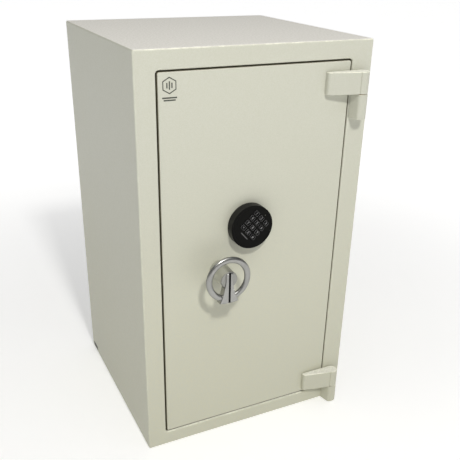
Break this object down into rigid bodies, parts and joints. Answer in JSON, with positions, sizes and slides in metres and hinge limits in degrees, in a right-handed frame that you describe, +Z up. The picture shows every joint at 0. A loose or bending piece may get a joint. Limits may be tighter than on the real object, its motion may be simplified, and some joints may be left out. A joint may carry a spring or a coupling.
{
  "type": "security safe",
  "caption": "Floor-standing security safe: double-walled body, inset hinged door, ring handle with boltwork, round electronic keypad lock, and a shelf inside.",
  "frame": {"origin": "centre of the base, on the floor", "axes": "+Z up, -Y out of the door's front face, +X towards the hinge side"},
  "size_m": [0.464, 0.4875, 0.8],
  "materials": {
    "paint": "cream textured powder coat",
    "inner_paint": "light grey powder coat",
    "barrier": "cast cement fill",
    "steel": "machined",
    "hard_steel": "black hardened plate",
    "cast_alloy": "satin cast",
    "bronze": "machined bronze",
    "black_plastic": "fine satin moulding",
    "key_rubber": "soft rubber with pale legends",
    "circuit_board": "solder mask"
  },
  "bodies": {
    "cabinet": {"outer_casing": "paint", "back_panel": "paint", "front_frame": "paint", "barrier_fill": "barrier", "inner_liner": "inner_paint", "corner_plug": "black_plastic", "anchor_plug_1": "black_plastic", "anchor_plug_2": "black_plastic", "shelf": "inner_paint", "shelf_rail_left_front": "steel", "shelf_rail_left_rear": "steel", "shelf_rail_right_front": "steel", "shelf_rail_right_rear": "steel", "shelf_clip_left_front": "steel", "shelf_clip_left_rear": "steel", "shelf_clip_right_front": "steel", "shelf_clip_right_rear": "steel", "upper_frame_knuckle": "paint", "lower_frame_knuckle": "paint", "upper_hinge_pin": "steel", "lower_hinge_pin": "steel", "upper_thrust_washer": "bronze", "lower_thrust_washer": "bronze"},
    "door": {"door_plate": "paint", "hard_plate": "hard_steel", "handle_bush": "bronze", "boltwork_case": "inner_paint", "boltwork_cover": "inner_paint", "hinge_side_dog": "steel", "bar_guide_1": "steel", "bar_guide_2": "steel", "upper_door_leaf": "paint", "lower_door_leaf": "paint", "lock_case": "cast_alloy", "keypad_mount": "black_plastic"},
    "handle": {"handle_ring": "cast_alloy", "handle_hub": "cast_alloy", "pointer_inlay": "black_plastic", "handle_spindle": "steel", "spindle_pinion": "steel"},
    "boltwork": {"bolt_bar": "steel", "locking_bolt_1": "steel", "locking_bolt_2": "steel", "locking_bolt_3": "steel"},
    "keypad": {"keypad_housing": "black_plastic", "keypad_board": "circuit_board", "lock_drive_shaft": "steel"},
    "lock_bolt": {"lock_bolt": "bronze"},
    "key_1": {"key_1": "key_rubber"},
    "key_2": {"key_2": "key_rubber"},
    "key_3": {"key_3": "key_rubber"},
    "key_4": {"key_4": "key_rubber"},
    "key_5": {"key_5": "key_rubber"},
    "key_6": {"key_6": "key_rubber"},
    "key_7": {"key_7": "key_rubber"},
    "key_8": {"key_8": "key_rubber"},
    "key_9": {"key_9": "key_rubber"},
    "key_clear": {"key_clear": "key_rubber"},
    "key_0": {"key_0": "key_rubber"},
    "key_enter": {"key_enter": "key_rubber"}
  },
  "joints": [
    {"name": "door_hinge", "type": "hinge", "parent": "cabinet", "child": "door", "pos_m": [0.2027, -0.2313, 0.4], "axis": [0, 0, 1], "range_deg": [0, 170]},
    {"name": "handle_turn", "type": "hinge", "parent": "door", "child": "handle", "pos_m": [-0.0794, -0.2375, 0.389], "axis": [0, -1, 0], "range_deg": [0, 90]},
    {"name": "bolt_throw", "type": "slide", "parent": "door", "child": "boltwork", "axis": [-1, 0, 0], "range_m": [0, 0.022]},
    {"name": "keypad_turn", "type": "hinge", "parent": "door", "child": "keypad", "pos_m": [-0.018, -0.2275, 0.473], "axis": [0, 1, 0], "range_deg": [-49, 41]},
    {"name": "lock_bolt_slide", "type": "slide", "parent": "door", "child": "lock_bolt", "axis": [0, 0, 1], "range_m": [-0.0078, 0.0065]},
    {"name": "key_1_press", "type": "slide", "parent": "keypad", "child": "key_1", "axis": [0, 1, 0], "range_m": [0, 0.001], "stiffness_N_per_m": 600},
    {"name": "key_2_press", "type": "slide", "parent": "keypad", "child": "key_2", "axis": [0, 1, 0], "range_m": [0, 0.001], "stiffness_N_per_m": 600},
    {"name": "key_3_press", "type": "slide", "parent": "keypad", "child": "key_3", "axis": [0, 1, 0], "range_m": [0, 0.001], "stiffness_N_per_m": 600},
    {"name": "key_4_press", "type": "slide", "parent": "keypad", "child": "key_4", "axis": [0, 1, 0], "range_m": [0, 0.001], "stiffness_N_per_m": 600},
    {"name": "key_5_press", "type": "slide", "parent": "keypad", "child": "key_5", "axis": [0, 1, 0], "range_m": [0, 0.001], "stiffness_N_per_m": 600},
    {"name": "key_6_press", "type": "slide", "parent": "keypad", "child": "key_6", "axis": [0, 1, 0], "range_m": [0, 0.001], "stiffness_N_per_m": 600},
    {"name": "key_7_press", "type": "slide", "parent": "keypad", "child": "key_7", "axis": [0, 1, 0], "range_m": [0, 0.001], "stiffness_N_per_m": 600},
    {"name": "key_8_press", "type": "slide", "parent": "keypad", "child": "key_8", "axis": [0, 1, 0], "range_m": [0, 0.001], "stiffness_N_per_m": 600},
    {"name": "key_9_press", "type": "slide", "parent": "keypad", "child": "key_9", "axis": [0, 1, 0], "range_m": [0, 0.001], "stiffness_N_per_m": 600},
    {"name": "key_clear_press", "type": "slide", "parent": "keypad", "child": "key_clear", "axis": [0, 1, 0], "range_m": [0, 0.001], "stiffness_N_per_m": 600},
    {"name": "key_0_press", "type": "slide", "parent": "keypad", "child": "key_0", "axis": [0, 1, 0], "range_m": [0, 0.001], "stiffness_N_per_m": 600},
    {"name": "key_enter_press", "type": "slide", "parent": "keypad", "child": "key_enter", "axis": [0, 1, 0], "range_m": [0, 0.001], "stiffness_N_per_m": 600}
  ],
  "couplings": [
    {"joint": "bolt_throw", "follows": "handle_turn", "m_per_rad": 0.014},
    {"joint": "lock_bolt_slide", "follows": "keypad_turn", "m_per_rad": 0.009}
  ]
}
